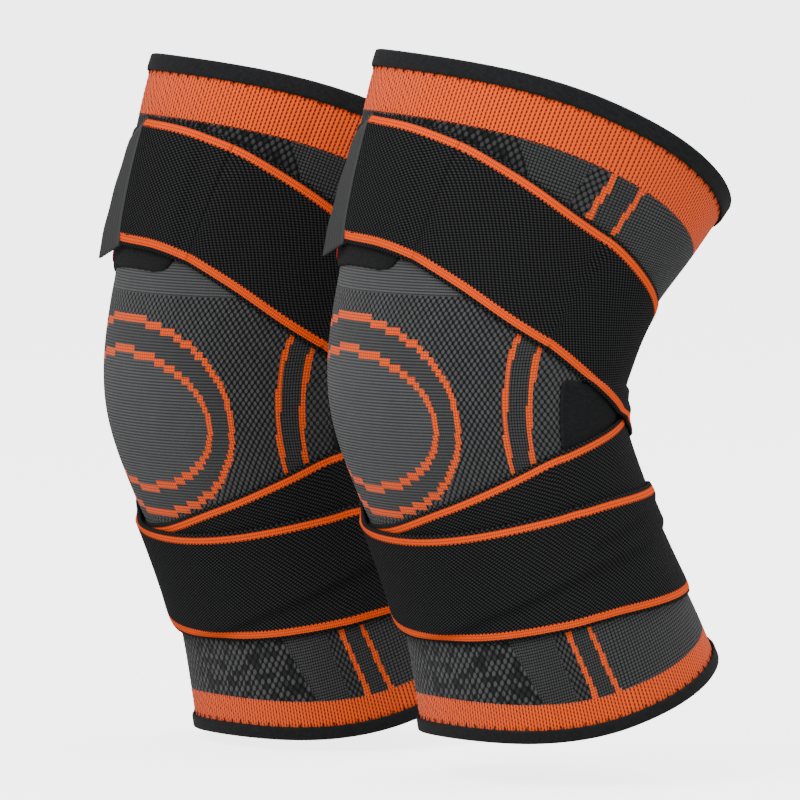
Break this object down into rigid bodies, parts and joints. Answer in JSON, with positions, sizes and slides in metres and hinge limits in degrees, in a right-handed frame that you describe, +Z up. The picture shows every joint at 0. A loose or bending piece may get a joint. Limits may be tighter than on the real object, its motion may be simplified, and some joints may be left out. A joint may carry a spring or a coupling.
{
  "type": "pair of knitted knee sleeves",
  "caption": "Pair of bent-knee knitted compression sleeves with bound rims, each wrapped by one long elastic strap that closes above the kneecap with a hook-and-loop pull tab.",
  "frame": {"origin": "flexion centre of the left knee, in the middle of the leg at the height of the kneecap", "axes": "+Z up the standing leg, -Y the way the knees face, +X the wearer's left"},
  "size_m": [0.3306, 0.1711, 0.3026],
  "materials": {
    "knit": "matte knitted nylon and elastane",
    "binding": "matte elastic tape",
    "overlock_thread": "black polyester thread",
    "silicone": "soft translucent silicone",
    "patch_cloth": "brushed cloth",
    "black_thread": "polyester thread",
    "loop_pile": "brushed loop pile",
    "label": "blank woven label",
    "strap_webbing": "woven elastic webbing",
    "hook_tape": "moulded hooks on tape",
    "tab_plastic": "ribbed soft plastic"
  },
  "bodies": {
    "left_calf": {"left_calf_knit": "knit", "left_knee_knit": "knit", "left_bottom_binding": "binding", "left_bottom_binding_stitches": "overlock_thread", "left_bottom_grip_strip": "silicone", "left_anchor_patch": "patch_cloth", "left_anchor_stitching": "black_thread", "left_strap_lower": "strap_webbing", "left_strap_cross": "strap_webbing"},
    "left_thigh": {"left_thigh_knit": "knit", "left_top_binding": "binding", "left_top_binding_stitches": "overlock_thread", "left_top_grip_strip": "silicone", "left_loop_patch": "loop_pile", "left_loop_patch_stitching": "black_thread", "left_blank_label": "label", "left_strap_upper": "strap_webbing"},
    "left_strap_end": {"left_strap_end": "strap_webbing", "left_hook_patch": "hook_tape", "left_grip_tab": "tab_plastic", "left_tab_stitching": "black_thread"},
    "right_calf": {"right_calf_knit": "knit", "right_knee_knit": "knit", "right_bottom_binding": "binding", "right_bottom_binding_stitches": "overlock_thread", "right_bottom_grip_strip": "silicone", "right_anchor_patch": "patch_cloth", "right_anchor_stitching": "black_thread", "right_strap_lower": "strap_webbing", "right_strap_cross": "strap_webbing"},
    "right_thigh": {"right_thigh_knit": "knit", "right_top_binding": "binding", "right_top_binding_stitches": "overlock_thread", "right_top_grip_strip": "silicone", "right_loop_patch": "loop_pile", "right_loop_patch_stitching": "black_thread", "right_blank_label": "label", "right_strap_upper": "strap_webbing"},
    "right_strap_end": {"right_strap_end": "strap_webbing", "right_hook_patch": "hook_tape", "right_grip_tab": "tab_plastic", "right_tab_stitching": "black_thread"}
  },
  "joints": [
    {"name": "left_knee_flex", "type": "hinge", "parent": "left_calf", "child": "left_thigh", "pos_m": [0, 0, 0], "axis": [1, 0, 0], "range_deg": [-40, 35], "deforming": ["left_knee_knit", "left_strap_cross", "left_anchor_patch", "left_anchor_stitching"]},
    {"name": "left_strap_peel", "type": "hinge", "parent": "left_thigh", "child": "left_strap_end", "pos_m": [0.03863, -0.04268, 0.08715], "axis": [0.2024, 0.3125, 0.9281], "range_deg": [0, 80]},
    {"name": "right_knee_flex", "type": "hinge", "parent": "right_calf", "child": "right_thigh", "pos_m": [-0.189, 0, -0.0144], "axis": [1, 0, 0], "range_deg": [-40, 35], "deforming": ["right_knee_knit", "right_strap_cross", "right_anchor_patch", "right_anchor_stitching"]},
    {"name": "right_strap_peel", "type": "hinge", "parent": "right_thigh", "child": "right_strap_end", "pos_m": [-0.15037, -0.04268, 0.07275], "axis": [0.2024, 0.3125, 0.9281], "range_deg": [0, 80]},
    {"name": "pair_spacing", "type": "slide", "parent": "left_calf", "child": "right_calf", "axis": [-1, 0, 0], "range_m": [0, 0.2]}
  ]
}
